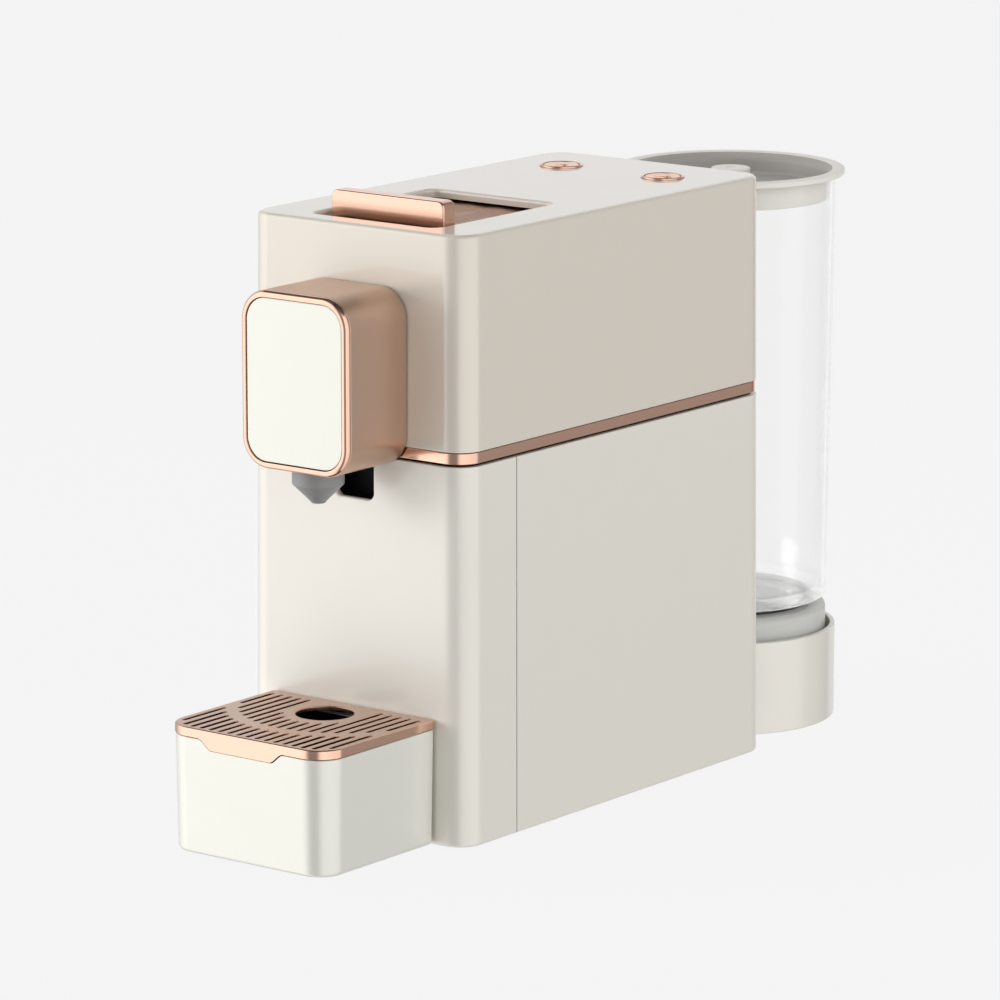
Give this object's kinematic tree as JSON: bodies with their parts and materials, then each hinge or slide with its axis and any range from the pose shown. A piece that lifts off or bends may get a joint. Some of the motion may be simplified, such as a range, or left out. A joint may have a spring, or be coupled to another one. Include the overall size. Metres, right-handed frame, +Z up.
{
  "type": "pod coffee machine",
  "caption": "Upright pod coffee machine: sliding pod door with geared brew cage, brew head over a pull-out drip tray and pod bin, buttons on top and a lift-off water tank at the back.",
  "frame": {"origin": "middle of the bounding box in plan, at the plane the feet stand on", "axes": "+Z up, -Y towards the user (drip tray side), +X to the right as seen by the machine"},
  "size_m": [0.1136, 0.3794, 0.2582],
  "materials": {
    "shell": "satin moulded ABS",
    "tray_shell": "satin moulded ABS",
    "panel": "high gloss moulded ABS",
    "rose_gold": "rose gold plating, bright",
    "rose_satin": "rose gold anodised, satin",
    "black_plastic": "fine moulded texture",
    "grey_plastic": "moulded, plain",
    "dark_rubber": "moulded rubber",
    "clear_tank": "clear moulded copolyester",
    "lid_plastic": "satin moulded ABS",
    "aluminium": "die cast",
    "steel": "stainless",
    "circuit_green": "solder resist on laminate",
    "silicone": "silicone hose"
  },
  "bodies": {
    "base": {"upper_housing": "shell", "front_shell": "shell", "rear_shell": "shell", "tank_base_cup": "shell", "trim_band": "rose_gold", "head_bezel": "rose_gold", "button_ring_left": "rose_gold", "button_ring_right": "rose_gold", "head_sleeve": "rose_satin", "head_panel": "panel", "base_plate": "black_plastic", "loading_bay": "black_plastic", "outlet_liner": "black_plastic", "pump_coil": "black_plastic", "switch_left": "black_plastic", "switch_right": "black_plastic", "chassis": "grey_plastic", "spout_nozzle": "grey_plastic", "brew_frame": "grey_plastic", "flow_meter": "grey_plastic", "dock_post": "grey_plastic", "foot_front_left": "dark_rubber", "foot_front_right": "dark_rubber", "foot_rear_left": "dark_rubber", "foot_rear_right": "dark_rubber", "cord_gland": "dark_rubber", "pump_mount_front": "dark_rubber", "pump_mount_rear": "dark_rubber", "floor_screw_1": "steel", "floor_screw_2": "steel", "floor_screw_3": "steel", "floor_screw_4": "steel", "piercing_plate": "steel", "gear_shaft": "steel", "pump_core": "steel", "thermostat": "steel", "thermoblock": "aluminium", "control_board": "circuit_green", "outlet_duct": "silicone", "inlet_hose": "silicone", "pump_hose": "silicone", "heater_hose": "silicone", "brew_hose": "silicone"},
    "pod_door": {"slide_cover": "rose_gold", "slide_handle": "rose_gold"},
    "brew_piston": {"brew_cage": "aluminium", "cage_seal": "dark_rubber", "cage_yoke": "aluminium"},
    "gear": {"drive_gear": "grey_plastic"},
    "button_left": {"button_left": "rose_gold"},
    "button_right": {"button_right": "rose_gold"},
    "tray": {"drip_tray": "tray_shell", "capsule_bin": "black_plastic"},
    "grille": {"drip_grille": "rose_satin"},
    "tank": {"water_tank": "clear_tank", "tank_foot": "clear_tank", "tank_seal": "dark_rubber"},
    "lid": {"tank_lid": "lid_plastic", "lid_knob": "lid_plastic"},
    "valve": {"valve_poppet": "grey_plastic"}
  },
  "joints": [
    {"name": "pod_slide", "type": "slide", "parent": "base", "child": "pod_door", "axis": [0, 1, 0], "range_m": [0, 0.058]},
    {"name": "cage_slide", "type": "slide", "parent": "base", "child": "brew_piston", "axis": [0, 1, 0], "range_m": [0, 0.029]},
    {"name": "gear_spin", "type": "hinge", "parent": "base", "child": "gear", "pos_m": [0.04, -0.0199, 0.2225], "axis": [-1, 0, 0], "range_deg": [0, 208]},
    {"name": "press_left", "type": "slide", "parent": "base", "child": "button_left", "axis": [0, 0, -1], "range_m": [0, 0.0015], "stiffness_N_per_m": 300, "springref_m": -0.002},
    {"name": "press_right", "type": "slide", "parent": "base", "child": "button_right", "axis": [0, 0, -1], "range_m": [0, 0.0015], "stiffness_N_per_m": 300, "springref_m": -0.002},
    {"name": "tray_pull", "type": "slide", "parent": "base", "child": "tray", "axis": [0, -1, 0], "range_m": [0, 0.12]},
    {"name": "grille_lift", "type": "slide", "parent": "tray", "child": "grille", "axis": [0, 0, 1], "range_m": [0, 0.06]},
    {"name": "tank_lift", "type": "slide", "parent": "base", "child": "tank", "axis": [0, 0, 1], "range_m": [0, 0.06]},
    {"name": "lid_lift", "type": "slide", "parent": "tank", "child": "lid", "axis": [0, 0, 1], "range_m": [0, 0.04]},
    {"name": "valve_lift", "type": "slide", "parent": "tank", "child": "valve", "axis": [0, 0, 1], "range_m": [0, 0.002], "stiffness_N_per_m": 150, "springref_m": -0.003}
  ],
  "couplings": [
    {"joint": "cage_slide", "follows": "pod_slide", "ratio": 0.5},
    {"joint": "gear_spin", "follows": "pod_slide", "rad_per_m": 62.5}
  ]
}
